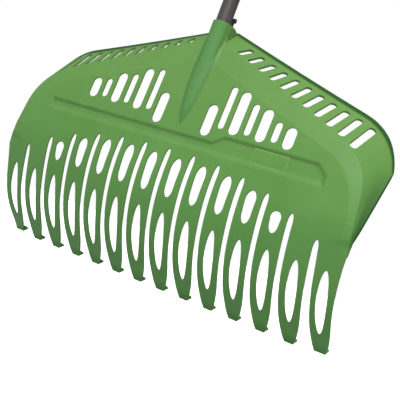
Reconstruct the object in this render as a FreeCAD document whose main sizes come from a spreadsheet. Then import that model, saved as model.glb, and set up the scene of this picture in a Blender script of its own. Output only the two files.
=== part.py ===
import FreeCAD, Part
import math
import os
import Sketcher
from FreeCAD import Placement, Rotation, Vector

os.makedirs("parts", exist_ok=True)

# Leaf rake: one moulded head with tines, a tube handle held by a cam lever, a grip and an end cap.
# Row frame: origin at the centre of the hanging hole, +Z up along the handle, +Y to the back
# (the side the tines curve towards), +X to the right seen from the front.

doc = FreeCAD.newDocument("leaf_rake")
sheet = doc.addObject("Spreadsheet::Sheet", "dimensions")

DIMENSIONS = {
    # handle
    "tube_radius": 12.5,
    "tube_wall": 1.2,
    "tube_length": 1300.0,
    "tube_insertion": 145.0,
    "foot_length": 18.0,
    "foot_flange": 3.0,
    "grip_radius": 15.6,
    "grip_length": 170.0,
    "grip_groove_pitch": 9.0,
    "grip_groove_depth": 0.9,
    "collar_length": 14.0,
    "cap_radius": 15.6,
    "cap_length": 46.0,
    "eye_rise": 17.0,
    "eye_radius": 14.0,
    "eye_hole_radius": 6.0,
    "eye_thickness": 13.0,
    # moulded head
    "wall": 3.0,
    "panel_depth": 3.36,
    "head_tilt": 3.87,
    "socket_radius": 15.75,
    "socket_bore": 12.6,
    "socket_top": 10.0,
    "socket_dome": 175.0,
    "crease_apex": 72.3,
    "crease_slope": 0.386,
    "crease_side": 304.0,
    "crease_corner": 94.0,
    "ridge_apex": 33.0,
    "ridge_slope": 0.435,
    "ridge_side": 315.5,
    "ridge_corner": 91.0,
    "ridge_depth": 4.2,
    "flare_apex": 21.6,
    "flare_slope": 0.3885,
    "flare_side": 336.5,
    "flare_corner": 106.0,
    "flare_depth": 60.0,
    "side_lean": 0.093,
    "lip_depth_mid": 36.0,
    "lip_depth_corner": 60.8,
    "lip_corner_height": 155.0,
    "side_end": 297.0,
    "side_end_depth": 7.0,
    "bend_start": 246.0,
    "bend_radius": 211.0,
    "bend_angle": 45.0,
    "crown_depth": 9.5,
    "crown_width": 313.0,
    "tip_sweep": 9.0,
    "tine_pitch": 45.0,
    "tine_half_width": 19.3,
    "gap_widening": 1.3,
    "tine_thinning": 0.9,
    "tip_half_width": 6.9,
    "tip_height": 432.5,
    "tip_fan": 6.5,
    "claw_thickness": 10.4,
    "lens_height": 362.7,
    "lens_half_length": 41.2,
    "lens_half_width": 8.4,
    "oval_bottom": 298.5,
    "oval_half_width": 8.8,
    "oval_foot_half_width": 7.8,
    "oval_foot_length": 14.0,
    "groove_depth": 3.4,
    "groove_top_slope": 6.5,
    "groove_low_slope": 11.0,
    # housing and cam lever
    "housing_half_width": 16.5,
    "housing_depth": 34.0,
    "housing_height": 46.0,
    "cheek_wall": 3.2,
    "pad_thickness": 3.6,
    "pad_half_width": 8.0,
    "pad_height": 18.0,
    "cam_radius": 6.5,
    "cam_offset": 1.5,
    "cam_clearance": 0.06,
    "lever_half_width": 7.0,
    "thumb_half_width": 6.5,
    "pivot_drop": 31.0,
    "pin_radius": 2.0,
    "pin_clearance": 0.06,
}
TINES = 14
RIM_SLOTS = 11

for row, (name, value) in enumerate(DIMENSIONS.items(), start=1):
    sheet.set("A%d" % row, name)
    sheet.set("B%d" % row, str(value))
    sheet.setAlias("B%d" % row, name)
doc.recompute()


def size(name):
    return float(getattr(sheet, name))


WALL = size("wall")
TILT = math.radians(size("head_tilt"))

# The tube's foot stands tube_insertion below the socket's mouth, and the hanging hole's centre is
# eye_rise above the tube's top end. Heights below are measured in the row frame.
TUBE_TOP = -size("eye_rise")
TUBE_FOOT = TUBE_TOP - size("tube_length")
SOCKET_TOP = TUBE_FOOT + size("tube_insertion")
HEAD_LEVEL = SOCKET_TOP + size("socket_top")

# The head is drawn in its own frame: the panel's front face is the plane y = 0, z runs up the panel,
# and the tube's axis passes panel_depth behind the panel at z = 0, leaning forward going up.
HEAD_PLACEMENT = Placement(
    Vector(
        0,
        -size("panel_depth") * math.cos(TILT),
        HEAD_LEVEL + size("panel_depth") * math.sin(TILT),
    ),
    Rotation(Vector(1, 0, 0), -size("head_tilt")),
)
TO_HEAD = HEAD_PLACEMENT.inverse()


def in_head_frame(shape):
    """A shape drawn about the tube's axis in the row frame, seen from the head's own frame."""
    return shape.transformed(TO_HEAD.toMatrix())


# ---------------------------------------------------------------- curves of the head


def ease(share):
    """Rises smoothly from 0 to 1."""
    share = min(max(share, 0.0), 1.0)
    return share * share * (3 - 2 * share)


def bend_depth(z):
    """How far the front face lies behind the panel's plane at height z: an arc, then a straight end."""
    drop = -size("bend_start") - z
    if drop <= 0:
        return 0.0
    radius, angle = size("bend_radius"), math.radians(size("bend_angle"))
    arc_drop = radius * math.sin(angle)
    if drop < arc_drop:
        return radius - math.sqrt(radius * radius - drop * drop)
    return radius * (1 - math.cos(angle)) + (drop - arc_drop) * math.tan(angle)


def crown(x, z):
    """The lower part of the head also wraps back towards its sides, most at the outer tips."""
    wrap = size("crown_depth") * (x / size("crown_width")) ** 2
    sweep = size("tip_sweep") * (x / size("crown_width")) ** 8
    return wrap * ease((-size("bend_start") - z) / 84.0) + sweep * ease((-380.0 - z) / 50.0)


def front_depth(x, z):
    return bend_depth(z) + crown(x, z)


def bend_normal(x, z):
    """Unit normal of the front face, pointing to the back, in the plane x = constant."""
    step = 0.5
    slope = (front_depth(x, z - step) - front_depth(x, z + step)) / (2 * step)
    length = math.hypot(1.0, slope)
    return 1.0 / length, slope / length


def sheet_thickness(z):
    """The sheet thins a little down the tines."""
    return WALL - size("tine_thinning") * ease((-300.0 - z) / 110.0)


def lip_depth(x):
    """Depth of the rim's free edge along the top: deepest at the corners."""
    mid = size("lip_depth_mid")
    return mid + (size("lip_depth_corner") - mid) * min(abs(x) / 310.0, 1.0)


def side_lip_depth(z):
    """Depth of the rim's free edge down the sides: a straight run out to the outer tine."""
    top = -size("lip_corner_height")
    end = -size("side_end")
    share = (top - z) / (top - end)
    return size("lip_depth_corner") + share * (size("side_end_depth") - size("lip_depth_corner"))


class Outline:
    """Right half of a head outline: a sloping top line, a corner arc and a nearly upright side."""

    def __init__(self, kind, inset=0.0):
        slope = size(kind + "_slope")
        lean = size("side_lean")
        self.top = Vector(1, 0, -slope).normalize()
        self.side = Vector(lean, 0, -1).normalize()
        inward_top = Vector(self.top.z, 0, -self.top.x)
        inward_side = Vector(self.side.z, 0, -self.side.x)
        apex_height = size(kind + "_apex") * (1 if kind == "flare" else -1)
        self.radius = size(kind + "_corner") - inset
        top_point = Vector(0, 0, apex_height) + inward_top * inset
        side_point = Vector(size(kind + "_side"), 0, -size("side_end")) + inward_side * inset
        gap = side_point - top_point
        cross = self.top.x * self.side.z - self.top.z * self.side.x
        along = (gap.x * self.side.z - gap.z * self.side.x) / cross
        vertex = top_point + self.top * along
        turn = self.top.getAngle(self.side)
        tangent = self.radius * math.tan(turn / 2)
        self.corner_start = vertex - self.top * tangent
        self.corner_end = vertex + self.side * tangent
        bisector = (inward_top + inward_side).normalize()
        centre = vertex + bisector * (self.radius / math.cos(turn / 2))
        self.corner_mid = centre - bisector * self.radius
        self.apex = top_point - self.top * (top_point.x / self.top.x)
        self.side_point = side_point

    def side_x(self, z):
        return self.side_point.x - (z - self.side_point.z) * size("side_lean")

    def top_z(self, x):
        return self.apex.z + x * self.top.z / self.top.x

    def wire(self, y, bottom):
        """The whole outline at depth y, closed by a straight line at height bottom."""
        foot = Vector(self.side_x(bottom), y, bottom)

        def at(point, mirrored=False):
            return Vector(-point.x if mirrored else point.x, y, point.z)

        edges = [
            Part.makeLine(at(foot, True), foot),
            Part.makeLine(foot, at(self.corner_end)),
            Part.Arc(at(self.corner_end), at(self.corner_mid), at(self.corner_start)).toShape(),
            Part.makeLine(at(self.corner_start), at(self.apex)),
            Part.makeLine(at(self.apex), at(self.corner_start, True)),
            Part.Arc(
                at(self.corner_start, True), at(self.corner_mid, True), at(self.corner_end, True)
            ).toShape(),
            Part.makeLine(at(self.corner_end, True), at(foot, True)),
        ]
        return Part.Wire(edges)


def prism_xz(wire, y_from, y_to):
    face = Part.Face(wire)
    face.translate(Vector(0, y_from, 0))
    return face.extrude(Vector(0, y_to - y_from, 0))


def polygon(points):
    return Part.makePolygon(list(points) + [points[0]])


# ---------------------------------------------------------------- the head's shell


def upper_shell():
    """Flat panel, shallow chamfer band and flared rim, as an outer form less an inner form."""
    bottom = -size("bend_start")
    crease, ridge, flare = Outline("crease"), Outline("ridge"), Outline("flare")
    ridge_y, flare_y = size("ridge_depth"), size("flare_depth")
    outer = Part.makeLoft([crease.wire(0, bottom), ridge.wire(ridge_y, bottom)], True, True)
    outer = outer.fuse(
        Part.makeLoft([ridge.wire(ridge_y, bottom), flare.wire(flare_y, bottom)], True, True)
    )
    below = bottom - 20
    inner_crease = Outline("crease", 0.6)
    inner_ridge = Outline("ridge", 1.1 * WALL)
    inner_flare = Outline("flare", 1.2 * WALL)
    inner = Part.makeLoft(
        [inner_crease.wire(WALL, below), inner_ridge.wire(ridge_y + WALL, below)], True, True
    )
    beyond = flare_y + 1
    inner = inner.fuse(
        Part.makeLoft(
            [inner_ridge.wire(ridge_y + WALL, below), inner_flare.wire(beyond, below)], True, True
        )
    )
    shell = outer.cut(inner)
    return shell.cut(lip_cutter())


def lip_cutter():
    """Everything behind the rim's free edge."""
    reach, far, above = 345.0, 120.0, 80.0
    corner = -size("lip_corner_height")
    edge = [(-reach, corner), (-310, corner), (0, corner), (310, corner), (reach, corner)]
    line = [Vector(x, lip_depth(x), z) for x, z in edge]
    line += [Vector(reach, far, corner), Vector(-reach, far, corner)]
    top = Part.Face(polygon(line)).extrude(Vector(0, 0, above - corner))
    low = -size("side_end") - 30
    side = polygon(
        [
            Vector(-reach, side_lip_depth(corner), corner),
            Vector(-reach, far, corner),
            Vector(-reach, far, low),
            Vector(-reach, side_lip_depth(low), low),
        ]
    )
    return top.fuse(Part.Face(side).extrude(Vector(2 * reach, 0, 0)))


def polygon_open(points):
    return [Part.makeLine(a, b) for a, b in zip(points, points[1:])]


def bent_section(x):
    """Closed section of the bent sheet in the plane x = constant."""
    heights = [-size("bend_start"), -262, -280, -300, -325, -350, -375, -395, -408, -420]
    heights.append(-size("tip_height") + (4.0 if abs(x) > 280 else 0.0))
    front = [Vector(x, front_depth(x, z), z) for z in heights]
    back = []
    for point in front:
        y_part, z_part = bend_normal(x, point.z)
        thick = sheet_thickness(point.z)
        back.append(point + Vector(0, y_part * thick, z_part * thick))
    outer, inner = Part.BSplineCurve(), Part.BSplineCurve()
    straight = Vector(0, 0, -1)
    slopes = [straight] + [Vector(0, 0, 0)] * (len(front) - 1)
    fixed = [True] + [False] * (len(front) - 1)
    outer.interpolate(Points=front, Tangents=slopes, TangentFlags=fixed, Scale=True)
    inner.interpolate(Points=back, Tangents=slopes, TangentFlags=fixed, Scale=True)
    edges = [
        outer.toShape(),
        Part.makeLine(front[-1], back[-1]),
        inner.toShape(),
        Part.makeLine(back[0], front[0]),
    ]
    return Part.Wire(Part.__sortEdges__(edges))


def side_section(z, sign):
    """Band and side wall cut across at height z, below the corner."""
    crease_x = Outline("crease").side_x(z)
    ridge_x = Outline("ridge").side_x(z)
    fade = (z + size("side_end") + 6) / (size("side_end") + 6 - size("bend_start"))
    base = front_depth(crease_x, z)
    ridge_y = base + size("ridge_depth") * fade
    lip_y = max(side_lip_depth(z), ridge_y + WALL + 0.4)
    flare = (size("flare_side") - size("ridge_side")) / (size("flare_depth") - size("ridge_depth"))
    lip_x = ridge_x + flare * (lip_y - ridge_y) * min(1.0, 0.1 + 2 * fade)
    points = [
        (crease_x - 10, front_depth(crease_x - 10, z)),
        (crease_x, base),
        (ridge_x, ridge_y),
        (lip_x, lip_y),
        (lip_x - 1.2 * WALL, lip_y),
        (ridge_x - 1.2 * WALL, ridge_y + WALL),
        (crease_x - 0.6, base + WALL),
        (crease_x - 10, front_depth(crease_x - 10, z) + WALL),
    ]
    return polygon([Vector(sign * px, py, z) for px, py in points])


def side_wall(sign):
    heights = [-size("bend_start"), -256, -276, -size("side_end")]
    return Part.makeLoft([side_section(z, sign) for z in heights], True, True)


# ---------------------------------------------------------------- tines and openings


def tine_centre(number):
    return (number - (TINES - 1) / 2) * size("tine_pitch")


def tip_shift(x):
    """The outer tips fan outwards a little."""
    share = max(abs(x) - 150.0, 0.0) / 142.0
    return math.copysign(size("tip_fan") * share ** 1.5, x)


# Down a tine's edge: height, how far the edge draws in, and its share of the tip's sideways shift.
EDGE_TAPER = [
    (250.0, 0.0, 0.0),
    (300.0, 0.0, 0.0),
    (350.0, 0.3, 0.15),
    (385.0, 1.8, 0.4),
    (403.0, 3.4, 0.6),
    (418.0, 6.6, 0.8),
    (426.0, 9.2, 0.9),
]


def tine_edge(centre, side):
    """Points down one edge of a tine, from its root to below its tip."""
    half, tip = size("tine_half_width"), size("tip_half_width")
    shift = tip_shift(centre)
    outermost = abs(centre) > (TINES - 2) / 2 * size("tine_pitch")
    slim = 2.6 if outermost and side * centre < 0 else 0.0
    opened = 0.0 if outermost and side * centre > 0 else size("gap_widening")
    points = []
    for drop, inset, share in EDGE_TAPER:
        pull = slim * math.sin(math.pi * min(max((drop - 300.0) / 140.0, 0.0), 1.0))
        pull += opened * min(max((390.0 - drop) / 60.0, 0.0), 1.0)
        points.append(Vector(centre + share * shift + side * (half - inset - pull), 0, -drop))
    points.append(Vector(centre + shift + side * tip, 0, -size("tip_height")))
    points.append(Vector(centre + shift + side * (tip - 1.6), 0, -size("tip_height") - 4))
    return points


def edge_spline(points):
    curve = Part.BSplineCurve()
    curve.interpolate(points)
    return curve.toShape()


def gap_top(x):
    """Height of a gap's upper end: the gaps are shorter towards the sides."""
    return -226.0 - 61.0 * (abs(x) / 270.0) ** 2.6


def gap_cutter(number):
    """The gap to the right of a tine."""
    left = tine_edge(tine_centre(number), 1)
    right = tine_edge(tine_centre(number + 1), -1)
    middle = (tine_centre(number) + tine_centre(number + 1)) / 2
    top = gap_top(middle)
    shoulder = top - 14
    left = [Vector(left[0].x, 0, shoulder)] + [p for p in left if p.z < shoulder - 20]
    right = [Vector(right[0].x, 0, shoulder)] + [p for p in right if p.z < shoulder - 20]
    half = (right[0].x - left[0].x) / 2
    ellipse = Part.Ellipse(Vector(0, 0, 0), top - shoulder, half)
    cap = half_ellipse(ellipse, Vector(middle, 0, shoulder), up=True)
    foot = polygon_open(
        [
            left[-1],
            Vector(left[-1].x, 0, -470),
            Vector(right[-1].x, 0, -470),
            right[-1],
        ]
    )
    edges = [cap, edge_spline(left), edge_spline(right)] + foot
    wire = Part.Wire(Part.__sortEdges__(edges))
    return prism_xz(wire, -20, 170)


def half_ellipse(ellipse, centre, up):
    """Half of an ellipse drawn in the plane y = 0 with its long axis upright."""
    start, end = (-math.pi / 2, math.pi / 2) if up else (math.pi / 2, 3 * math.pi / 2)
    arc = Part.ArcOfEllipse(ellipse, start, end).toShape()
    arc.Placement = Placement(Vector(0, 0, 0), Rotation(Vector(0, 1, 0), -90)).multiply(
        Placement(Vector(0, 0, 0), Rotation(Vector(1, 0, 0), 90))
    )
    arc.translate(centre)
    return arc


def outer_cutter(sign):
    """Trims the outermost tine's outer edge, from the end of the side wall downwards."""
    centre = tine_centre(TINES - 1)
    edge = [Vector(point.x * sign, 0, point.z) for point in tine_edge(centre, 1)]
    start = Vector(sign * (Outline("ridge").side_x(-size("side_end")) - 0.5), 0, -size("side_end"))
    edge = [start] + edge[2:]
    far = sign * 380
    outline = polygon_open(
        [
            edge[-1],
            Vector(edge[-1].x, 0, -470),
            Vector(far, 0, -470),
            Vector(far, 0, start.z),
            start,
        ]
    )
    wire = Part.Wire(Part.__sortEdges__([edge_spline(edge)] + outline))
    return prism_xz(wire, -20, 170)


def side_trim(sign):
    """Trims the bent sheet where the side wall takes over."""
    crease = Outline("crease")
    top, end = -240.0, -size("side_end")
    points = [
        Vector(sign * (crease.side_x(top) - 1), 0, top),
        Vector(sign * (crease.side_x(end) - 1), 0, end),
        Vector(sign * 380, 0, end),
        Vector(sign * 380, 0, top),
    ]
    return prism_xz(polygon(points), -20, 170)


def lens_cutter(number):
    """The long hole near the end of every tine."""
    centre = tine_centre(number)
    shift = tip_shift(centre)
    ellipse = Part.Ellipse(Vector(0, 0, 0), size("lens_half_length"), size("lens_half_width"))
    edges = [
        half_ellipse(ellipse, Vector(0, 0, 0), up=True),
        half_ellipse(ellipse, Vector(0, 0, 0), up=False),
    ]
    cutter = prism_xz(Part.Wire(Part.__sortEdges__(edges)), -20, 170)
    lean = -math.degrees(math.atan2(0.6 * shift, 80.0))
    cutter.Placement = Placement(
        Vector(centre + 0.34 * shift, 0, -size("lens_height")), Rotation(Vector(0, 1, 0), lean)
    ).multiply(cutter.Placement)
    return cutter


def oval_cutter(number):
    """The wide hole at the root of a tine: round at both ends, a little slimmer at the bottom."""
    centre = tine_centre(number)
    top = -237.3 - 30.0 * (max(abs(centre) - 60.0, 0.0) / 142.5) ** 2.3
    bottom = -size("oval_bottom")
    half = size("oval_half_width")
    waist = top - 0.32 * (top - bottom) * 0.9
    upper = Part.Ellipse(Vector(0, 0, 0), max(top - waist, half), half)
    foot, foot_half = bottom + size("oval_foot_length"), size("oval_foot_half_width")
    lower = Part.Ellipse(Vector(0, 0, 0), size("oval_foot_length"), foot_half)
    edges = [
        half_ellipse(upper, Vector(centre, 0, waist), up=True),
        half_ellipse(lower, Vector(centre, 0, foot), up=False),
    ]
    for side in (-1, 1):
        shoulder = Vector(centre + side * half, 0, waist)
        edges.append(Part.makeLine(shoulder, Vector(centre + side * foot_half, 0, foot)))
    return prism_xz(Part.Wire(Part.__sortEdges__(edges)), -20, 170)


def slot_solid(start, end, width, normal, depth):
    """A round-ended slot from start to end, run through the wall along normal."""
    along = (end - start).normalize()
    across = normal.cross(along).normalize() * (width / 2)
    tip = along * (width / 2)
    a, b = start + tip, end - tip
    edges = [
        Part.makeLine(a + across, b + across),
        Part.Arc(b + across, b + tip, b - across).toShape(),
        Part.makeLine(b - across, a - across),
        Part.Arc(a - across, a - tip, a + across).toShape(),
    ]
    face = Part.Face(Part.Wire(edges))
    face.translate(normal * (-depth / 2))
    return face.extrude(normal * depth)


# Panel slots on each side: distance from the middle, upper end, lower end and width.
PANEL_SLOTS = [
    (45.0, 141.5, 192.5, 17.5),
    (67.5, 106.5, 175.5, 11.5),
    (90.0, 109.8, 180.0, 17.5),
    (112.5, 124.5, 175.0, 11.5),
    (135.0, 127.5, 179.5, 17.5),
    (157.5, 142.5, 174.5, 11.5),
    (180.0, 145.5, 179.5, 17.5),
]


def panel_slots():
    normal = Vector(0, 1, 0)
    slots = []
    for x, upper, lower, width in PANEL_SLOTS:
        for sign in (-1, 1):
            start, end = Vector(sign * x, 0, -upper), Vector(sign * x, 0, -lower)
            slots.append(slot_solid(start, end, width, normal, 24))
    return slots


def rim_point(x, y):
    """A point of the flared rim's front face above x at depth y."""
    ridge, flare = Outline("ridge"), Outline("flare")
    share = (y - size("ridge_depth")) / (size("flare_depth") - size("ridge_depth"))
    z = (1 - share) * ridge.top_z(x) + share * flare.top_z(x)
    return Vector(x, y, z)


def rim_slots():
    """A row of slots in each half of the flared rim, longer towards the corners."""
    slots = []
    for number in range(RIM_SLOTS):
        low_x = 46.0 + 22.4 * number
        high_x = 56.5 + 22.2 * number
        high_y = 27.0 + 14.5 * (number / 10) ** 1.7 + min(1.1 * number, 5.5)
        start = rim_point(low_x, 5.5 + 0.16 * number)
        end = rim_point(high_x, high_y)
        if number == RIM_SLOTS - 1:
            end = end + Vector(0, 2.0, -3.0)
            start = start + Vector(0, 0.5, -4.0)
        level = rim_point(high_x + 10, high_y) - rim_point(high_x - 10, high_y)
        normal = level.cross(end - start).normalize()
        if normal.y < 0:
            normal = normal * -1
        width = 10.0 + 0.2 * number
        outward = normal.cross(end - start).normalize() * (0.15 * number + 0.2)
        if outward.z < 0:
            outward = outward * -1
        start, end = start + outward, end + outward
        for sign in (-1, 1):
            ends = [Vector(sign * v.x, v.y, v.z) for v in (start, end, normal)]
            slots.append(slot_solid(ends[0], ends[1], width, ends[2], 22))
    return slots


def claw(number):
    """The thickened, bevelled end of a tine, wider than the tine until the gaps are cut."""
    centre = tine_centre(number)
    x = centre + tip_shift(centre)
    z = -size("tip_height") + (4.0 if number in (0, TINES - 1) else 0.0)
    front = front_depth(x, z)
    y_part, z_part = bend_normal(x, z)
    along, back = Vector(0, z_part, -y_part), Vector(0, y_part, z_part)
    thick, half = size("claw_thickness"), size("tip_half_width") + 8.0
    corner = Vector(x - half, front, z)
    outline = [
        corner,
        corner + back * thick,
        corner - along * 7.5 + back * 6.4,
        corner - along * 9.5 + back * (WALL - 0.6),
    ]
    return Part.Face(polygon(outline)).extrude(Vector(2 * half, 0, 0))


def tine_strip(number):
    """The bent sheet that one tine is part of, before any opening is cut."""
    centre = tine_centre(number)
    left = centre - size("tine_pitch") / 2
    right = centre + size("tine_pitch") / 2
    if number == 0:
        left -= 12
    if number == TINES - 1:
        right += 12
    strip = Part.makeLoft([bent_section(x) for x in (left, centre, right)], True, False)
    if number == 0:
        strip = strip.cut(side_trim(-1))
    if number == TINES - 1:
        strip = strip.cut(side_trim(1))
    return strip


def tine_openings():
    """Everything cut from the bent sheet to leave the tines."""
    cutters = [gap_cutter(number) for number in range(TINES - 1)]
    cutters += [outer_cutter(-1), outer_cutter(1)]
    cutters += [lens_cutter(number) for number in range(TINES)]
    cutters += [oval_cutter(number) for number in range(2, TINES - 2)]
    return cutters


# ---------------------------------------------------------------- stiffening groove and blank plate


def groove_outline(inset, y):
    """The groove's outline at depth y, drawn in by a share of its side slopes."""
    steep, gentle = inset * size("groove_top_slope"), inset * size("groove_low_slope")
    left, right = -257.0 + steep, 254.0 - steep
    low = -219.0 + gentle
    narrow, wide = -196.5 - steep, -183.5 - steep
    return polygon(
        [
            Vector(left, y, low),
            Vector(right, y, low),
            Vector(right, y, -198 - steep),
            Vector(right - 16, y, wide),
            Vector(82, y, wide),
            Vector(64, y, narrow),
            Vector(left, y, narrow),
        ]
    )


def groove_solid(margin, front, back):
    """Pressed groove: narrow on the left, stepping up to a wide recess on the right."""
    grown = -margin / size("groove_top_slope")
    depth = back - margin
    sections = [(grown, front), (0.25 + grown, margin + 0.12 * depth)]
    sections += [(0.75 + grown, margin + 0.88 * depth), (1.0 + grown, back)]
    return Part.makeLoft([groove_outline(inset, y) for inset, y in sections], True, True)


def blank_plate():
    """A plain raised plate inside the wide recess."""
    depth = size("groove_depth")
    plate = Part.makeBox(58, 1.2, 24, Vector(134, depth - 1.2, -212.5))
    return plate


# ---------------------------------------------------------------- socket and housing


def axis_cylinder(radius, top, bottom):
    """A cylinder about the tube's axis between two heights of the row frame, in the head frame."""
    solid = Part.makeCylinder(radius, top - bottom, Vector(0, 0, bottom))
    return in_head_frame(solid)


PIVOT_Y = (
    size("tube_radius")
    + size("pad_thickness")
    + size("cam_clearance")
    + size("cam_radius")
    + size("cam_offset")
)
PIVOT_Z = HEAD_LEVEL - size("pivot_drop")


def socket_solid():
    """Round boss that carries the tube and dives below the panel, closed by a dome."""
    dome = HEAD_LEVEL - size("socket_dome")
    boss = axis_cylinder(size("socket_radius"), SOCKET_TOP, dome)
    ball = Part.makeSphere(size("socket_radius"), Vector(0, 0, dome))
    return boss.fuse(in_head_frame(ball))


# The soft skirt where the socket sinks into the panel: height, half-width, rise and how far its
# foot is sunk.
SKIRT = [
    (-30.0, 17.0, 9.0, 5.2),
    (-55.0, 18.5, 7.5, 2.7),
    (-80.0, 18.5, 6.4, 0.4),
    (-110.0, 18.0, 5.3, 0.3),
    (-140.0, 15.5, 4.0, 0.3),
    (-162.0, 12.0, 2.8, 0.3),
    (-176.0, 7.5, 1.6, 0.3),
    (-184.0, 2.5, 0.5, 0.3),
]


def skirt_section(z, half, rise, sunk):
    """Bell-shaped section across the skirt."""
    points = []
    for step in range(-6, 7):
        share = step / 6
        bell = (1 - share * share) ** 1.5
        points.append(Vector(share * half, sunk - (rise + sunk) * bell, z))
    curve = Part.BSplineCurve()
    curve.interpolate(points)
    back = max(sunk, 0.0) + 1.4
    corners = [Vector(half, back, z), Vector(-half, back, z)]
    edges = [curve.toShape(), Part.makeLine(points[-1], corners[0])]
    edges += [Part.makeLine(corners[0], corners[1]), Part.makeLine(corners[1], points[0])]
    return Part.Wire(edges)


def socket_skirt():
    return Part.makeLoft([skirt_section(*row) for row in SKIRT], True, False)


def row_box(x_from, x_to, y_from, y_to, z_from, z_to):
    box = Part.makeBox(x_to - x_from, y_to - y_from, z_to - z_from, Vector(x_from, y_from, z_from))
    return in_head_frame(box)


def housing_block():
    """Block behind the tube that joins the socket to the rim and carries the lever."""
    half, depth = size("housing_half_width"), size("housing_depth")
    top, low = SOCKET_TOP, SOCKET_TOP - size("housing_height")
    profile = polygon(
        [
            Vector(-half, 0, top),
            Vector(-half, 14, top),
            Vector(-half, depth - 4, top - 4),
            Vector(-half, depth, top - 9),
            Vector(-half, depth, low + 14),
            Vector(-half, depth - 12, low),
            Vector(-half, 0, low),
        ]
    )
    return in_head_frame(Part.Face(profile).extrude(Vector(2 * half, 0, 0)))


def housing_room():
    """The space between the two cheeks, open at the back and on top."""
    half = size("housing_half_width") - size("cheek_wall")
    low = SOCKET_TOP - size("housing_height") + size("cheek_wall")
    return row_box(-half, half, 0, size("flare_depth") + 20, low, SOCKET_TOP + 60)


def pivot_bosses():
    """Round bosses that stand in from the cheeks to the lever."""
    inner = size("lever_half_width") + 0.5
    outer = size("housing_half_width")
    bosses = []
    for start in (-outer, inner):
        bosses.append(
            in_head_frame(
                Part.makeCylinder(
                    5.5, outer - inner, Vector(start, PIVOT_Y, PIVOT_Z), Vector(1, 0, 0)
                )
            )
        )
    return bosses


def head_cuts():
    """Tube bore, pad window and pivot hole."""
    bore = axis_cylinder(size("socket_bore"), SOCKET_TOP + 90, TUBE_FOOT - size("foot_flange") - 0.2)
    half = size("pad_half_width") + 0.15
    window = row_box(
        -half,
        half,
        4,
        size("socket_radius") + 3,
        PIVOT_Z - size("pad_height") / 2 - 0.15,
        PIVOT_Z + size("pad_height") / 2 + 0.15,
    )
    half_hole = size("housing_half_width")
    hole = Part.makeCylinder(
        size("pin_radius") + size("pin_clearance"),
        2 * half_hole,
        Vector(-half_hole, PIVOT_Y, PIVOT_Z),
        Vector(1, 0, 0),
    )
    return [bore, window, in_head_frame(hole)]


def rake_head_shape():
    depth = size("groove_depth")
    shell = upper_shell().fuse(socket_skirt())
    shell = shell.fuse(groove_solid(WALL, 0.5, depth + WALL))
    shell = shell.cut(groove_solid(0, -0.01, depth))
    shell = shell.fuse(blank_plate())
    shell = shell.cut(panel_slots() + rim_slots())
    strips = [tine_strip(number) for number in range(TINES)]
    shell = shell.fuse([side_wall(-1), side_wall(1)] + strips)
    shell = shell.fuse([claw(number) for number in range(TINES)])
    shell = shell.cut(tine_openings())
    head = shell.fuse(housing_block()).cut(housing_room())
    head = head.fuse([socket_solid()] + pivot_bosses())
    head = head.cut(head_cuts())
    return head.removeSplitter()


# ---------------------------------------------------------------- document helpers


def cell(formula):
    """A formula over the sheet's names, written the way an expression needs it."""
    words = []
    for word in formula.split(" "):
        bare = word.strip("()")
        words.append(word.replace(bare, "dimensions." + bare) if bare in DIMENSIONS else word)
    return " ".join(words)


def origin_plane(body, role):
    for feature in body.Origin.OriginFeatures:
        if feature.Role == role:
            return feature
    raise RuntimeError("no plane " + role)


def new_body(label, height):
    """An empty body whose own origin stands at the given height of the row frame."""
    body = doc.addObject("PartDesign::Body", label)
    body.Label = label
    body.setExpression("Placement.Base.z", cell(height))
    return body


def new_sketch(body, name, role):
    sketch = body.newObject("Sketcher::SketchObject", name)
    sketch.AttachmentSupport = [(origin_plane(body, role), "")]
    sketch.MapMode = "FlatFace"
    return sketch


def add_circle(sketch, formula, across="0", up="0"):
    """A circle with its radius and centre bound to the sheet."""
    index = sketch.addGeometry(Part.Circle(Vector(0, 0, 0), Vector(0, 0, 1), 5.0), False)
    number = sketch.addConstraint(Sketcher.Constraint("Radius", index, 5.0))
    sketch.setExpression("Constraints[%d]" % number, cell(formula))
    place_point(sketch, index, 3, across, up)
    return index


def place_point(sketch, index, end, across, up):
    """Fix a point of a sketch at two distances from the sketch's origin."""
    for kind, formula in (("DistanceX", across), ("DistanceY", up)):
        number = sketch.addConstraint(Sketcher.Constraint(kind, -1, 1, index, end, 1.0))
        sketch.setExpression("Constraints[%d]" % number, cell(formula))


def add_outline(sketch, points):
    """A closed run of straight edges through points given as pairs of formulas."""
    count = len(points)
    corners = []
    for number in range(count):
        angle = 2 * math.pi * number / count
        corners.append(Vector(10 * math.cos(angle), 10 * math.sin(angle), 0))
    first = None
    for number in range(count):
        following = corners[(number + 1) % count]
        index = sketch.addGeometry(Part.LineSegment(corners[number], following), False)
        first = index if first is None else first
    for number in range(count):
        after = first + (number + 1) % count
        sketch.addConstraint(Sketcher.Constraint("Coincident", first + number, 2, after, 1))
    for number, (across, up) in enumerate(points):
        place_point(sketch, first + number, 1, across, up)


def add_pad(body, sketch, name, formula, symmetric=False):
    pad = body.newObject("PartDesign::Pad", name)
    pad.Profile = sketch
    pad.SideType = "Symmetric" if symmetric else "One side"
    pad.setExpression("Length", cell(formula))
    return pad


def add_pocket(body, sketch, name):
    """A cut right through the body, both ways from the sketch's plane."""
    pocket = body.newObject("PartDesign::Pocket", name)
    pocket.Profile = sketch
    pocket.SideType = "Symmetric"
    pocket.Length = 200
    return pocket


def add_revolution(body, sketch, name):
    """A full turn about the body's own upright axis."""
    turn = body.newObject("PartDesign::Revolution", name)
    turn.Profile = sketch
    turn.ReferenceAxis = (sketch, ["V_Axis"])
    turn.Angle = 360
    return turn


# ---------------------------------------------------------------- handle

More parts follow.
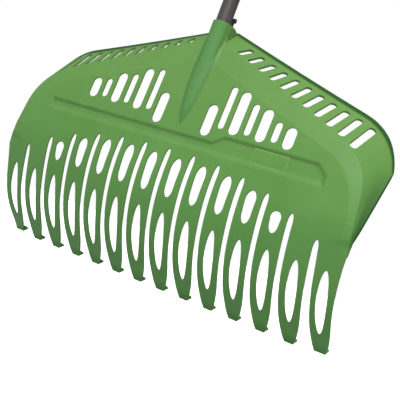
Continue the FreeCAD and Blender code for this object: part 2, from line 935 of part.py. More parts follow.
FOOT = "0 - eye_rise - tube_length"
TOP = "0 - eye_rise"
PIVOT_HEIGHT = FOOT + " + tube_insertion + socket_top - pivot_drop"
PIVOT_REACH = "tube_radius + pad_thickness + cam_clearance + cam_radius + cam_offset"

tube = new_body("handle_tube", FOOT)
tube_ring = new_sketch(tube, "tube_ring", "XY_Plane")
add_circle(tube_ring, "tube_radius")
add_circle(tube_ring, "tube_radius - tube_wall")
add_pad(tube, tube_ring, "tube_run", "tube_length")

foot = new_body("tube_foot", FOOT)
foot_half = new_sketch(foot, "foot_half", "XZ_Plane")
add_outline(
    foot_half,
    [
        ("0", "0 - foot_flange"),
        ("tube_radius - 1", "0 - foot_flange"),
        ("tube_radius", "1 - foot_flange"),
        ("tube_radius", "0"),
        ("tube_radius - tube_wall - 0.05", "0"),
        ("tube_radius - tube_wall - 0.05", "foot_length - foot_flange - 2"),
        ("tube_radius - tube_wall - 1.5", "foot_length - foot_flange"),
        ("0", "foot_length - foot_flange"),
    ],
)
add_revolution(foot, foot_half, "foot_turned")

grip = new_body("hand_grip", TOP + " - cap_length - grip_length")
grip_half = new_sketch(grip, "grip_half", "XZ_Plane")
add_outline(
    grip_half,
    [
        ("tube_radius", "0"),
        ("grip_radius - 0.8", "0"),
        ("grip_radius", "0.8"),
        ("grip_radius", "grip_length - 0.8"),
        ("grip_radius - 0.8", "grip_length"),
        ("tube_radius", "grip_length"),
    ],
)
add_revolution(grip, grip_half, "grip_turned")
grip_notch = new_sketch(grip, "grip_notch", "XZ_Plane")
add_outline(
    grip_notch,
    [
        ("grip_radius + 1", "grip_groove_pitch - grip_groove_depth - 1"),
        ("grip_radius + 1", "grip_groove_pitch + grip_groove_depth + 1"),
        ("grip_radius - grip_groove_depth", "grip_groove_pitch"),
    ],
)
grip_groove = grip.newObject("PartDesign::Groove", "grip_groove")
grip_groove.Profile = grip_notch
grip_groove.ReferenceAxis = (grip_notch, ["V_Axis"])
grip_groove.Angle = 360
doc.recompute()
grip_grooves = grip.newObject("PartDesign::LinearPattern", "grip_grooves")
grip_grooves.Originals = [grip_groove]
grip_grooves.Direction = (grip_notch, ["V_Axis"])
GROOVES = int(size("grip_length") / size("grip_groove_pitch")) - 1
grip_grooves.Mode = "Spacing"
grip_grooves.setExpression("Offset", cell("grip_groove_pitch"))
grip_grooves.Occurrences = GROOVES
grip.Tip = grip_grooves

collar = new_body("grip_collar", TOP + " - cap_length - grip_length - collar_length")
collar_half = new_sketch(collar, "collar_half", "XZ_Plane")
add_outline(
    collar_half,
    [
        ("tube_radius", "0"),
        ("tube_radius + 1.4", "0"),
        ("grip_radius", "collar_length / 2"),
        ("grip_radius + 0.8", "collar_length - 3"),
        ("grip_radius + 0.8", "collar_length"),
        ("tube_radius", "collar_length"),
    ],
)
add_revolution(collar, collar_half, "collar_turned")

cap = new_body("end_cap", "0")
cap_half = new_sketch(cap, "cap_half", "XZ_Plane")
add_outline(
    cap_half,
    [
        ("tube_radius", "0 - eye_rise - cap_length"),
        ("cap_radius", "0 - eye_rise - cap_length"),
        ("cap_radius", "0 - eye_rise - 4"),
        ("cap_radius - 1.6", "0 - eye_rise + 0.5"),
        ("cap_radius - 5", "3 - eye_rise"),
        ("0", "4 - eye_rise"),
        ("0", "0 - eye_rise"),
        ("tube_radius", "0 - eye_rise"),
    ],
)
add_revolution(cap, cap_half, "cap_turned")
eye_round = new_sketch(cap, "eye_round", "XZ_Plane")
add_circle(eye_round, "eye_radius")
add_pad(cap, eye_round, "eye_disc", "eye_thickness", symmetric=True)
eye_neck = new_sketch(cap, "eye_neck", "XZ_Plane")
add_outline(
    eye_neck,
    [
        ("0 - eye_radius", "0"),
        ("0 - eye_radius", "1 - eye_rise"),
        ("eye_radius", "1 - eye_rise"),
        ("eye_radius", "0"),
    ],
)
add_pad(cap, eye_neck, "eye_web", "eye_thickness", symmetric=True)
eye_hole = new_sketch(cap, "eye_hole", "XZ_Plane")
add_circle(eye_hole, "eye_hole_radius")
add_pocket(cap, eye_hole, "hanging_hole")

# ---------------------------------------------------------------- cam lever, pin, rings and shoe

lever = new_body("lock_lever", PIVOT_HEIGHT)
lever.setExpression("Placement.Base.y", cell(PIVOT_REACH))
cam_round = new_sketch(lever, "cam_round", "YZ_Plane")
add_circle(cam_round, "cam_radius", "0 - cam_offset", "0")
add_pad(lever, cam_round, "cam_disc", "2 * lever_half_width", symmetric=True)
arm_side = new_sketch(lever, "arm_side", "YZ_Plane")
add_outline(
    arm_side,
    [
        ("0 - 4.5", "0"),
        ("3.5", "0"),
        ("4.2", "14"),
        ("2.6", "38"),
        ("0 - 1.6", "38"),
        ("0 - 2.8", "14"),
    ],
)
add_pad(lever, arm_side, "arm", "1.1 * lever_half_width", symmetric=True)
thumb_side = new_sketch(lever, "thumb_side", "YZ_Plane")
add_outline(
    thumb_side,
    [
        ("0 - 2.4", "34.5"),
        ("2.8", "34"),
        ("3.8", "36.5"),
        ("3.4", "40.6"),
        ("0 - 0.8", "41.4"),
        ("0 - 2.8", "38.5"),
    ],
)
add_pad(lever, thumb_side, "thumb", "2 * thumb_half_width", symmetric=True)
lever_hole = new_sketch(lever, "lever_hole", "YZ_Plane")
add_circle(lever_hole, "pin_radius + pin_clearance")
add_pocket(lever, lever_hole, "lever_bore")

pin = new_body("lever_pin", PIVOT_HEIGHT)
pin.setExpression("Placement.Base.y", cell(PIVOT_REACH))
pin_round = new_sketch(pin, "pin_round", "YZ_Plane")
add_circle(pin_round, "pin_radius")
add_pad(pin, pin_round, "pin_run", "2 * housing_half_width + 4", symmetric=True)


def add_ring(label, side):
    """A push-on ring against a cheek's outer face, on the end of the pin."""
    ring = new_body(label, PIVOT_HEIGHT)
    ring.setExpression("Placement.Base.y", cell(PIVOT_REACH))
    ring.setExpression("Placement.Base.x", cell(side + " * housing_half_width"))
    outline = new_sketch(ring, label + "_round", "YZ_Plane")
    add_circle(outline, "pin_radius + 2.2")
    add_circle(outline, "pin_radius")
    thickness = add_pad(ring, outline, label + "_run", "1.2")
    thickness.Reversed = side == "-1"
    return ring


rings = [add_ring("pin_ring_left", "-1"), add_ring("pin_ring_right", "1")]

shoe = new_body("clamp_pad", PIVOT_HEIGHT)
shoe_face = new_sketch(shoe, "shoe_face", "XZ_Plane")
add_outline(
    shoe_face,
    [
        ("0 - pad_half_width", "0 - pad_height / 2"),
        ("pad_half_width", "0 - pad_height / 2"),
        ("pad_half_width", "pad_height / 2"),
        ("0 - pad_half_width", "pad_height / 2"),
    ],
)
shoe_block = add_pad(shoe, shoe_face, "shoe_block", "tube_radius + pad_thickness")
shoe_block.Reversed = True
shoe_round = new_sketch(shoe, "shoe_round", "XY_Plane")
add_circle(shoe_round, "tube_radius")
add_pocket(shoe, shoe_round, "shoe_hollow")

# ---------------------------------------------------------------- moulded head

head = doc.addObject("Part::Feature", "rake_head")
head.Label = "rake_head"
head.Shape = rake_head_shape()
head.Placement = HEAD_PLACEMENT

doc.recompute()

NODES = [head, tube, foot, shoe, lever, pin] + rings + [grip, collar, cap]
for item in doc.Objects:
    for state in item.State:
        if "Invalid" in state or "Error" in state:
            raise RuntimeError("%s is %s" % (item.Name, state))
for node in NODES:
    if node.Shape.isNull() or not node.Shape.isValid():
        raise RuntimeError("bad shape: " + node.Label)
    if len(node.Shape.Solids) != 1:
        raise RuntimeError("%s has %d solids" % (node.Label, len(node.Shape.Solids)))
for node in NODES:
    node.Shape.exportStep("parts/%s.step" % node.Label)
    box = node.Shape.BoundBox
    print("%-14s %9.1f mm3  z %.1f to %.1f" % (node.Label, node.Shape.Volume, box.ZMin, box.ZMax))
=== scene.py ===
import bmesh
import bpy
import math
from mathutils import Matrix, Vector


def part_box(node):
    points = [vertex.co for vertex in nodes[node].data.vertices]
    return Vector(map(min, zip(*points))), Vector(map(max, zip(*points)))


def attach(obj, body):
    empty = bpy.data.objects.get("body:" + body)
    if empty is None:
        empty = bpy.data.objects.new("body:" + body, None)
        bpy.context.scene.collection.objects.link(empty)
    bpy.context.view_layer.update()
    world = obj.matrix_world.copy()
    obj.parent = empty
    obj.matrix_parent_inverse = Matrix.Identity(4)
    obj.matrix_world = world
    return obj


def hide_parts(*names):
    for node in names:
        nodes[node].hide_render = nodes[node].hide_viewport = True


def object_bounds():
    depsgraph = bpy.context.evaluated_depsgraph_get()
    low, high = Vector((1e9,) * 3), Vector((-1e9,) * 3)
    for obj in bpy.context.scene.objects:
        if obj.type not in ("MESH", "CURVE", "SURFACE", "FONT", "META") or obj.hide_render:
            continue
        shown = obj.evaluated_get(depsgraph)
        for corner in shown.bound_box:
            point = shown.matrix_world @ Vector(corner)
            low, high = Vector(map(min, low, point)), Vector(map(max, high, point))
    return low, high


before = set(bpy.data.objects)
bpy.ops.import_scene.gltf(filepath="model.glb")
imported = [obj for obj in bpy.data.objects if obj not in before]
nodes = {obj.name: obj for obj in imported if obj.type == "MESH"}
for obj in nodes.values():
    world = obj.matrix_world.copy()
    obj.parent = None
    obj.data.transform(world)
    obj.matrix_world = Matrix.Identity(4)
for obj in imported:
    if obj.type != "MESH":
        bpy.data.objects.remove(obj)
cad_low, cad_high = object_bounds()


# ------------------------------------------------------------------ camera, floor and light

scene = bpy.context.scene
scene.view_settings.view_transform = "Standard"
scene.view_settings.look = "None"

# The viewing angle: where the camera stands, which way it looks and which way is right in the picture.
CAMERA_PLACE = Vector((0.600, -0.9853, -1.5121))
CAMERA_FORWARD = Vector((-0.4725, 0.8794, 0.0582))
CAMERA_RIGHT = Vector((0.83607, 0.4264, 0.3452))
CAMERA_LENS = 66.9
CAMERA_SENSOR = 36.0
# How bright the studio is before and behind the head, and where along Y one fades into the other.
ROOM_FRONT, ROOM_BACK = 0.62, 0.15
ROOM_FADE_START, ROOM_FADE_END = -0.35, 0.75


def make_camera():
    right = CAMERA_RIGHT.normalized()
    forward = CAMERA_FORWARD.normalized()
    up = right.cross(forward).normalized()
    data = bpy.data.cameras.new("camera")
    data.sensor_width = CAMERA_SENSOR
    data.lens = CAMERA_LENS
    camera = bpy.data.objects.new("camera", data)
    matrix = Matrix((right, up, -forward)).transposed().to_4x4()
    matrix.translation = CAMERA_PLACE
    camera.matrix_world = matrix
    scene.collection.objects.link(camera)
    scene.camera = camera


def make_floor():
    """A wide pale floor below the tines, white to the camera and dull to the light that it returns."""
    drop, reach, glow = 0.14, 60.0, 0.66
    level = cad_low.z - drop
    mesh = bpy.data.meshes.new("floor")
    corners = [(-reach, -reach), (reach, -reach), (reach, reach), (-reach, reach)]
    mesh.from_pydata([(x, y, level) for x, y in corners], [], [(0, 1, 2, 3)])
    floor = bpy.data.objects.new("floor", mesh)
    scene.collection.objects.link(floor)
    material = bpy.data.materials.new("pale_floor")
    material.use_nodes = True
    tree = material.node_tree
    shader = tree.nodes["Principled BSDF"]
    shader.inputs["Base Color"].default_value = (0.6, 0.6, 0.6, 1)
    shader.inputs["Roughness"].default_value = 0.95
    shader.inputs["Specular IOR Level"].default_value = 0.05
    shader.inputs["Emission Color"].default_value = (1, 1, 1, 1)
    path = tree.nodes.new("ShaderNodeLightPath")
    lift = tree.nodes.new("ShaderNodeMath")
    lift.operation = "MULTIPLY"
    lift.inputs[1].default_value = glow
    tree.links.new(path.outputs["Is Camera Ray"], lift.inputs[0])
    tree.links.new(lift.outputs[0], shader.inputs["Emission Strength"])
    mesh.materials.append(material)


def add_light(name, kind, towards, strength, **settings):
    """A soft light that shines from the given direction of the head."""
    data = bpy.data.lights.new(name, kind)
    data.energy = strength
    for key, value in settings.items():
        setattr(data, key, value)
    light = bpy.data.objects.new(name, data)
    light.rotation_mode = "QUATERNION"
    light.rotation_quaternion = Vector(towards).to_track_quat("Z", "Y")
    scene.collection.objects.link(light)
    return light


def make_world():
    """A white backdrop for the camera, in a studio that is brighter in front than behind."""
    world = bpy.data.worlds.new("studio")
    world.use_nodes = True
    tree = world.node_tree
    room = tree.nodes["Background"]
    white = tree.nodes.new("ShaderNodeBackground")
    white.inputs["Color"].default_value = (1, 1, 1, 1)
    white.inputs["Strength"].default_value = 1.0
    place = tree.nodes.new("ShaderNodeTexCoord")
    split = tree.nodes.new("ShaderNodeSeparateXYZ")
    tree.links.new(place.outputs["Generated"], split.inputs["Vector"])
    fade = tree.nodes.new("ShaderNodeMapRange")
    fade.inputs["From Min"].default_value = ROOM_FADE_START
    fade.inputs["From Max"].default_value = ROOM_FADE_END
    fade.inputs["To Min"].default_value = ROOM_FRONT
    fade.inputs["To Max"].default_value = ROOM_BACK
    tree.links.new(split.outputs["Y"], fade.inputs["Value"])
    room.inputs["Color"].default_value = (1, 1, 1, 1)
    tree.links.new(fade.outputs["Result"], room.inputs["Strength"])
    path = tree.nodes.new("ShaderNodeLightPath")
    mix = tree.nodes.new("ShaderNodeMixShader")
    tree.links.new(path.outputs["Is Camera Ray"], mix.inputs["Fac"])
    tree.links.new(room.outputs["Background"], mix.inputs[1])
    tree.links.new(white.outputs["Background"], mix.inputs[2])
    tree.links.new(mix.outputs["Shader"], tree.nodes["World Output"].inputs["Surface"])
    scene.world = world


def make_lights():
    """A wide key light from the front and above, a panel from the right, and two lights from behind.

    Only the key light and the studio are seen in the gloss.
    """
    wide, wider = math.radians(35), math.radians(40)
    add_light("key", "SUN", (0.16, -0.71, 0.8), 4.3, angle=wide)
    back_left = add_light("back_left", "SUN", (-0.45, 0.88, 0.08), 2.4, angle=wider)
    back_right = add_light("back_right", "SUN", (0.45, 0.88, 0.08), 1.5, angle=wider)
    panel = add_light("softbox", "AREA", (0.6, -0.62, 0.5), 7.0, shape="SQUARE", size=0.7)
    panel.location = Vector((0.75, -0.9, -0.65))
    for light in (back_left, back_right, panel):
        light.visible_glossy = False


make_camera()
make_floor()
make_world()
make_lights()

# ------------------------------------------------------------------ materials


class Maker:
    """Builds one node material step by step."""

    def __init__(self, name):
        self.material = bpy.data.materials.new(name)
        self.material.use_nodes = True
        self.tree = self.material.node_tree
        self.shader = self.tree.nodes["Principled BSDF"]
        self.place = self.tree.nodes.new("ShaderNodeTexCoord").outputs["Object"]

    def put(self, value, socket):
        if isinstance(value, bpy.types.NodeSocket):
            self.tree.links.new(value, socket)
        else:
            socket.default_value = value

    def set(self, **values):
        for name, value in values.items():
            self.put(value, self.shader.inputs[name.replace("_", " ")])

    def noise(self, scale, detail, stretch=(1, 1, 1)):
        mapping = self.tree.nodes.new("ShaderNodeMapping")
        mapping.inputs["Scale"].default_value = stretch
        self.put(self.place, mapping.inputs["Vector"])
        texture = self.tree.nodes.new("ShaderNodeTexNoise")
        texture.inputs["Scale"].default_value = scale
        texture.inputs["Detail"].default_value = detail
        self.put(mapping.outputs["Vector"], texture.inputs["Vector"])
        return texture.outputs["Fac"]

    def cells(self, scale):
        texture = self.tree.nodes.new("ShaderNodeTexVoronoi")
        texture.inputs["Scale"].default_value = scale
        self.put(self.place, texture.inputs["Vector"])
        return texture.outputs["Distance"]

    def spread(self, value, low, high, start=0.3, end=0.7):
        """Maps value, from start to end, onto low to high."""
        node = self.tree.nodes.new("ShaderNodeMapRange")
        node.inputs["From Min"].default_value = start
        node.inputs["From Max"].default_value = end
        node.inputs["To Min"].default_value = low
        node.inputs["To Max"].default_value = high
        self.put(value, node.inputs["Value"])
        return node.outputs["Result"]

    def rise(self, value, start, end):
        """A mask that is 0 where value is at start and 1 where it is at end."""
        return self.spread(value, 0.0, 1.0, start, end)

    def fall(self, value, start, end):
        """A mask that is 1 where value is at start and 0 where it is at end."""
        return self.spread(value, 1.0, 0.0, start, end)

    def blend(self, share, first, second):
        node = self.tree.nodes.new("ShaderNodeMix")
        node.data_type = "RGBA"
        self.put(share, node.inputs["Factor"])
        self.put(first, node.inputs["A"])
        self.put(second, node.inputs["B"])
        return [o for o in node.outputs if o.type == "RGBA"][0]

    def maths(self, kind, first, second):
        node = self.tree.nodes.new("ShaderNodeMath")
        node.operation = kind
        self.put(first, node.inputs[0])
        self.put(second, node.inputs[1])
        return node.outputs[0]

    def size_of(self, value):
        return self.maths("ABSOLUTE", value, 0.0)

    def product(self, first, *others):
        for other in others:
            first = self.maths("MULTIPLY", first, other)
        return first

    def soft_edges(self, radius):
        """A normal that is rounded over the edges, and how strongly each spot is an edge."""
        bevel = self.tree.nodes.new("ShaderNodeBevel")
        bevel.samples = 6
        self.put(radius, bevel.inputs["Radius"])
        plain = self.tree.nodes.new("ShaderNodeNewGeometry")
        dot = self.tree.nodes.new("ShaderNodeVectorMath")
        dot.operation = "DOT_PRODUCT"
        self.put(bevel.outputs["Normal"], dot.inputs[0])
        self.put(plain.outputs["Normal"], dot.inputs[1])
        edge = self.spread(dot.outputs["Value"], 1.0, 0.0, 0.75, 0.99)
        return bevel.outputs["Normal"], edge

    def bump(self, height, strength, distance, normal=None):
        node = self.tree.nodes.new("ShaderNodeBump")
        node.inputs["Strength"].default_value = strength
        node.inputs["Distance"].default_value = distance
        self.put(height, node.inputs["Height"])
        if normal is not None:
            self.put(normal, node.inputs["Normal"])
        return node.outputs["Normal"]


# How far rubbed edges pale on moulded plastic, and how softly a pressed groove's edges are rounded.
PLASTIC_WEAR = 0.55
PRESSED_RADIUS = 0.0045


def moulded(name, dark, light, edge_colour, roughness, edge_radius, grain=1400.0, pressed=None):
    """Moulded plastic: faint cloudiness, fine grain, rubbed edges; softer where it's pressed."""
    made = Maker(name)
    cloud = made.noise(9.0, 4.0)
    streak = made.noise(22.0, 3.0, (1.0, 1.0, 0.25))
    shade = made.maths("ADD", made.product(cloud, 0.65), made.product(streak, 0.35))
    colour = made.blend(made.spread(shade, 0.0, 1.0), dark, light)
    wear = PLASTIC_WEAR
    if pressed is not None:
        soft = pressed(made)
        edge_radius = made.spread(soft, edge_radius, PRESSED_RADIUS, 0.0, 1.0)
        wear = made.spread(soft, PLASTIC_WEAR, 0.0, 0.0, 1.0)
    normal, edge = made.soft_edges(edge_radius)
    patch = made.rise(made.noise(60.0, 4.0), 0.42, 0.66)
    colour = made.blend(made.product(edge, patch, wear), colour, edge_colour)
    grain_height = made.noise(grain, 2.0)
    wave = made.noise(70.0, 2.0)
    normal = made.bump(wave, 0.12, 0.0006, normal)
    normal = made.bump(grain_height, 0.22, 0.00012, normal)
    smear = made.noise(35.0, 5.0, (1.0, 1.0, 0.4))
    made.set(
        Base_Color=colour,
        Roughness=made.spread(smear, roughness - 0.06, roughness + 0.08),
        Normal=normal,
    )
    return made


# The head's own frame: its lean, its level above the tube's foot, and how far its panel's front
# stands before the tube's axis.
HEAD_TILT = math.radians(3.87)
HEAD_RISE = 0.155
PANEL_LEAD = 0.00336
# The blank plate in the recess: its middle and half its size, in the head's frame.
PLATE_X, PLATE_UP = 0.163, -0.2005
PLATE_HALF_WIDTH, PLATE_HALF_HEIGHT = 0.029, 0.012
# Where the rim's upper part ends and its side walls begin, in the head's frame.
CORNER_UP = -0.155
# The upper rim's free edge: how far back it lies in the middle, and by how much more per metre across.
UPPER_EDGE_BACK, UPPER_EDGE_SWEEP = 0.0358, 0.08
# How much wider the painted shade along the upper rim's free edge is on the left.
LEFT_LIP_EXTRA = 0.003
# A side wall's free edge: how far back it lies at the corner, and by how much less per metre down.
SIDE_EDGE_BACK, SIDE_EDGE_SLOPE = 0.0608, 0.3789


def head_place(made):
    """A spot's place in the head's own frame: to the right, to the back and upwards."""
    split = made.tree.nodes.new("ShaderNodeSeparateXYZ")
    made.put(made.place, split.inputs["Vector"])
    cosine, sine = math.cos(HEAD_TILT), math.sin(HEAD_TILT)
    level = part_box("handle_tube")[0].z + HEAD_RISE
    y = made.maths("ADD", split.outputs["Y"], PANEL_LEAD * cosine)
    z = made.maths("SUBTRACT", split.outputs["Z"], level + PANEL_LEAD * sine)
    back = made.maths("SUBTRACT", made.product(y, cosine), made.product(z, sine))
    up = made.maths("ADD", made.product(y, sine), made.product(z, cosine))
    return split.outputs["X"], back, up


def in_plate(made, x, up):
    """How far inside the blank plate's outline a spot lies."""
    beside = made.size_of(made.maths("SUBTRACT", x, PLATE_X))
    above = made.size_of(made.maths("SUBTRACT", up, PLATE_UP))
    inside = made.maths("SUBTRACT", PLATE_HALF_WIDTH, beside)
    return made.maths("MINIMUM", inside, made.maths("SUBTRACT", PLATE_HALF_HEIGHT, above))


def pressed_groove(made):
    """1 in the pressed groove, 0 elsewhere and on the blank plate."""
    x, _, up = head_place(made)
    band = made.product(made.rise(up, -0.228, -0.222), made.fall(up, -0.182, -0.177))
    return made.product(band, made.fall(in_plate(made, x, up), -0.003, -0.001))


def upper_lip_shade(made, x, across, back, up):
    """Painted shade along the upper rim's free edge, which sweeps back a little; the band is wider on the
    left.
    """
    lip = made.maths("ADD", made.product(across, UPPER_EDGE_SWEEP), UPPER_EDGE_BACK)
    lip = made.maths("SUBTRACT", lip, made.spread(x, LEFT_LIP_EXTRA, 0.0, -0.05, 0.0))
    edge = made.rise(made.maths("SUBTRACT", back, lip), -0.0075, -0.0045)
    return made.product(edge, made.rise(up, CORNER_UP - 0.010, CORNER_UP))


def side_edge(made, up):
    """How far back the free edge of a side wall lies: less and less further down."""
    below = made.maths("SUBTRACT", up, CORNER_UP)
    return made.maths("ADD", made.product(below, SIDE_EDGE_SLOPE), SIDE_EDGE_BACK)


def side_lip_shade(made, across, back, up):
    """Painted shade along the free edge of the side walls."""
    edge = made.rise(made.maths("SUBTRACT", back, side_edge(made, up)), -0.0044, -0.0024)
    height = made.product(made.fall(up, CORNER_UP - 0.010, CORNER_UP), made.rise(up, -0.286, -0.272))
    return made.product(edge, height, made.rise(across, 0.302, 0.308))


def side_wall_painted_shade(made, across, back, up):
    """Painted shade on the side walls, darker towards their narrow lower ends."""
    share = made.maths("DIVIDE", back, side_edge(made, up))
    wall = made.product(made.rise(share, 0.30, 0.60), made.rise(across, 0.285, 0.300))
    return made.product(wall, made.spread(up, 0.72, 0.0, -0.255, -0.160), made.rise(up, -0.288, -0.268))


def plate_edge_highlight(made, x, back, up):
    """A painted highlight: a thin lighter line inside the blank plate's outline, on the front only."""
    inside = in_plate(made, x, up)
    line = made.product(made.spread(inside, 0.0, 0.6, -0.0003, 0.0003), made.fall(inside, 0.0012, 0.0019))
    return made.product(line, made.fall(back, 0.0036, 0.0044))


def green_plastic():
    """Moulded polypropylene with painted light and shade: painted shade along the rim's free edges, on
    the tines, the side walls and the socket's foot, a painted sheen on the socket, a painted highlight
    line on the blank plate and a lighter upper part; darker at the claws.
    """
    made = moulded(
        "green_plastic",
        (0.056, 0.144, 0.032, 1),
        (0.067, 0.166, 0.040, 1),
        (0.12, 0.25, 0.08, 1),
        0.42,
        0.0011,
        pressed=pressed_groove,
    )
    x, back, up = head_place(made)
    across = made.size_of(x)
    colour = made.shader.inputs["Base Color"].links[0].from_socket
    # Painted shade: the tines darker towards their tips, where they turn down away from the light.
    colour = made.blend(made.spread(up, 0.6, 0.0, -0.420, -0.240), colour, (0.037, 0.133, 0.027, 1))
    # Painted light: the upper part of the head lighter, as where it faces up into the light.
    colour = made.blend(made.spread(up, 0.0, 0.35, -0.220, -0.130), colour, (0.092, 0.176, 0.042, 1))
    # Painted shade: the side walls darker towards their lower ends.
    colour = made.blend(side_wall_painted_shade(made, across, back, up), colour, (0.010, 0.060, 0.010, 1))

    above = made.rise(up, -0.195, -0.190)
    # Painted sheen: the raised socket tinted bluish-green, as its soft highlight.
    socket = made.product(above, made.spread(back, 0.55, 0.0, -0.0022, -0.0006))
    colour = made.blend(socket, colour, (0.044, 0.148, 0.046, 1))
    # Painted shade: a darker line along the socket's foot, where it meets the panel.
    foot = made.product(above, made.spread(back, 0.0, 0.3, -0.0034, -0.0016))
    foot = made.product(foot, made.fall(back, -0.0009, -0.0003))
    colour = made.blend(foot, colour, (0.012, 0.060, 0.012, 1))
    # Painted highlight: a thin lighter line inside the blank plate's outline.
    colour = made.blend(plate_edge_highlight(made, x, back, up), colour, (0.12, 0.24, 0.05, 1))

    # Painted shade along the rim's free edges, where the lip turns away from the light; the claws are
    # darker too. Both take less gloss.
    lip_shade = made.maths("MAXIMUM", upper_lip_shade(made, x, across, back, up), side_lip_shade(made, across, back, up))
    claws = made.product(made.fall(up, -0.430, -0.418), 0.35)
    lip_shade_and_dark_claws = made.maths("MAXIMUM", made.product(lip_shade, 0.85), claws)
    made.set(
        Base_Color=made.blend(lip_shade_and_dark_claws, colour, (0.004, 0.034, 0.004, 1)),
        Specular_IOR_Level=made.spread(lip_shade_and_dark_claws, 0.16, 0.06, 0.0, 1.0),
    )
    return made.material


def black_plastic():
    made = moulded(
        "black_plastic",
        (0.010, 0.010, 0.011, 1),
        (0.017, 0.017, 0.018, 1),
        (0.07, 0.07, 0.07, 1),
        0.5,
        0.0007,
        900.0,
    )
    return made.material


def grey_plastic():
    made = moulded(
        "grey_plastic",
        (0.16, 0.16, 0.16, 1),
        (0.20, 0.20, 0.195, 1),
        (0.35, 0.35, 0.34, 1),
        0.45,
        0.0004,
        1100.0,
    )
    return made.material


def tube_coating():
    """Powder coat on a drawn steel tube: fine orange peel, long faint streaks, a few bright scuffs."""
    made = Maker("tube_coating")
    streak = made.noise(60.0, 4.0, (1.0, 1.0, 0.06))
    cloud = made.noise(14.0, 3.0, (1.0, 1.0, 0.4))
    colour = made.blend(
        made.spread(streak, 0.0, 1.0), (0.035, 0.027, 0.026, 1), (0.047, 0.037, 0.036, 1)
    )
    colour = made.blend(made.spread(cloud, 0.0, 0.35), colour, (0.039, 0.032, 0.030, 1))
    scuff = made.noise(420.0, 2.0, (1.0, 1.0, 0.03))
    scuff = made.spread(scuff, 0.0, 0.5, 0.68, 0.74)
    colour = made.blend(scuff, colour, (0.20, 0.185, 0.175, 1))
    normal, _ = made.soft_edges(0.0005)
    normal = made.bump(made.noise(900.0, 2.0), 0.3, 0.0001, normal)
    made.set(
        Base_Color=colour,
        Metallic=0.15,
        Roughness=made.spread(cloud, 0.36, 0.5),
        Normal=normal,
    )
    return made.material


def steel():
    """Turned steel with fine rings and a dull film."""
    made = Maker("steel")
    film = made.noise(300.0, 4.0)
    turned = made.noise(2500.0, 2.0, (1.0, 0.2, 0.2))
    colour = made.blend(made.spread(film, 0.0, 1.0), (0.50, 0.50, 0.49, 1), (0.64, 0.63, 0.61, 1))
    normal, _ = made.soft_edges(0.0003)
    normal = made.bump(turned, 0.25, 0.00005, normal)
    made.set(
        Base_Color=colour,
        Metallic=1.0,
        Roughness=made.spread(film, 0.26, 0.42),
        Normal=normal,
    )
    return made.material


def grip_rubber():
    """Soft rubber: matt, dusty in its grooves, with a pebbled skin."""
    made = Maker("grip_rubber")
    dust = made.noise(55.0, 5.0)
    colour = made.blend(
        made.spread(dust, 0.0, 1.0, 0.4, 0.75), (0.012, 0.012, 0.012, 1), (0.045, 0.043, 0.040, 1)
    )
    normal, edge = made.soft_edges(0.0006)
    colour = made.blend(made.maths("MULTIPLY", edge, 0.35), colour, (0.08, 0.08, 0.078, 1))
    normal = made.bump(made.cells(1600.0), 0.4, 0.00015, normal)
    made.set(
        Base_Color=colour,
        Roughness=made.spread(dust, 0.68, 0.86),
        Normal=normal,
    )
    return made.material


MATERIALS = {
    "green_plastic": green_plastic(),
    "black_plastic": black_plastic(),
    "grey_plastic": grey_plastic(),
    "tube_coating": tube_coating(),
    "steel": steel(),
    "grip_rubber": grip_rubber(),
}
NODE_FINISH = {
    "rake_head": "green_plastic",
    "handle_tube": "tube_coating",
    "tube_foot": "black_plastic",
    "hand_grip": "grip_rubber",
    "grip_collar": "black_plastic",
    "end_cap": "black_plastic",
    "lock_lever": "black_plastic",
    "lever_pin": "steel",
    "pin_ring_left": "steel",
    "pin_ring_right": "steel",
    "clamp_pad": "grey_plastic",
}
for name, finish in NODE_FINISH.items():
    node = nodes[name]
    for place in node.material_slots:
        place.material = MATERIALS[finish]
    if not node.material_slots:
        node.data.materials.append(MATERIALS[finish])


# ------------------------------------------------------------------ moulded pieces in more detail


def show(name, mesh, body, slot, *replaced):
    """Puts a smooth mesh in the scene on its body and with its material."""
    piece = bpy.data.objects.new(name, mesh)
    scene.collection.objects.link(piece)
    mesh.materials.clear()
    mesh.materials.append(MATERIALS[slot])
    for face in mesh.polygons:
        face.use_smooth = True
    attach(piece, body)
    if replaced:
        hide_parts(*replaced)
    return piece


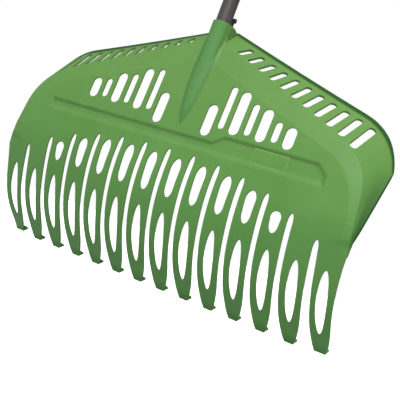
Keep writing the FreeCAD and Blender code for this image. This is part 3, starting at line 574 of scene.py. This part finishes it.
def turned(profile, segments):
    """A closed profile of radius and height turned about the handle's axis."""
    mesh = bpy.data.meshes.new("turned")
    count = len(profile)
    points, faces = [], []
    for step in range(segments):
        angle = 2 * math.pi * step / segments
        for radius, z in profile:
            points.append((radius * math.cos(angle), radius * math.sin(angle), z))
    for step in range(segments):
        after = (step + 1) % segments
        for row in range(count):
            below = (row + 1) % count
            faces.append(
                (step * count + row, step * count + below, after * count + below, after * count + row)
            )
    mesh.from_pydata(points, [], faces)
    build = bmesh.new()
    build.from_mesh(mesh)
    bmesh.ops.recalc_face_normals(build, faces=build.faces)
    build.to_mesh(mesh)
    build.free()
    return mesh


def grip_profile():
    """Soft ribs between two plain bands, a little slimmer in the middle of the hand."""
    low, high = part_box("hand_grip")
    outer, inner = high.x, 0.0126
    start, end = low.z, high.z
    band, pitch, depth, corner, waist = 0.007, 0.009, 0.0012, 0.0011, 0.0007
    steps_per_rib = 12
    run_in = 12  # the ribs reach their full depth after one part in this many of the run
    points = [(inner, start), (outer - corner, start), (outer - 0.3 * corner, start + 0.3 * corner)]
    points.append((outer, start + corner))
    run = end - start - 2 * band
    ribs = int(run / pitch)
    steps = ribs * steps_per_rib
    for step in range(steps + 1):
        share = step / steps
        wave = 0.5 - 0.5 * math.cos(2 * math.pi * share * ribs)
        ends = min(1.0, run_in * share, run_in * (1 - share))
        slimming = waist * math.sin(math.pi * share) ** 2
        radius = outer - slimming - depth * wave ** 3 * ends
        points.append((radius, start + band + run * share))
    points.append((outer, end - corner))
    points += [(outer - 0.3 * corner, end - 0.3 * corner), (outer - corner, end), (inner, end)]
    return points


def softened(name, node, body, slot, voxel, rounds):
    """A moulded piece with the soft corners that a mould leaves."""
    mesh = nodes[node].data.copy()
    mesh.name = name
    piece = show(name, mesh, body, slot, node)
    remesh = piece.modifiers.new("even", "REMESH")
    remesh.mode = "VOXEL"
    remesh.voxel_size = voxel
    remesh.use_smooth_shade = True
    smooth = piece.modifiers.new("soft", "SMOOTH")
    smooth.factor = 0.5
    smooth.iterations = rounds
    return piece


show("grip_ribs", turned(grip_profile(), 96), "handle", "grip_rubber", "hand_grip")
softened("cap_soft", "end_cap", "handle", "black_plastic", 0.0006, 5)
softened("collar_soft", "grip_collar", "handle", "black_plastic", 0.0005, 4)
softened("lever_soft", "lock_lever", "lever", "black_plastic", 0.0004, 3)
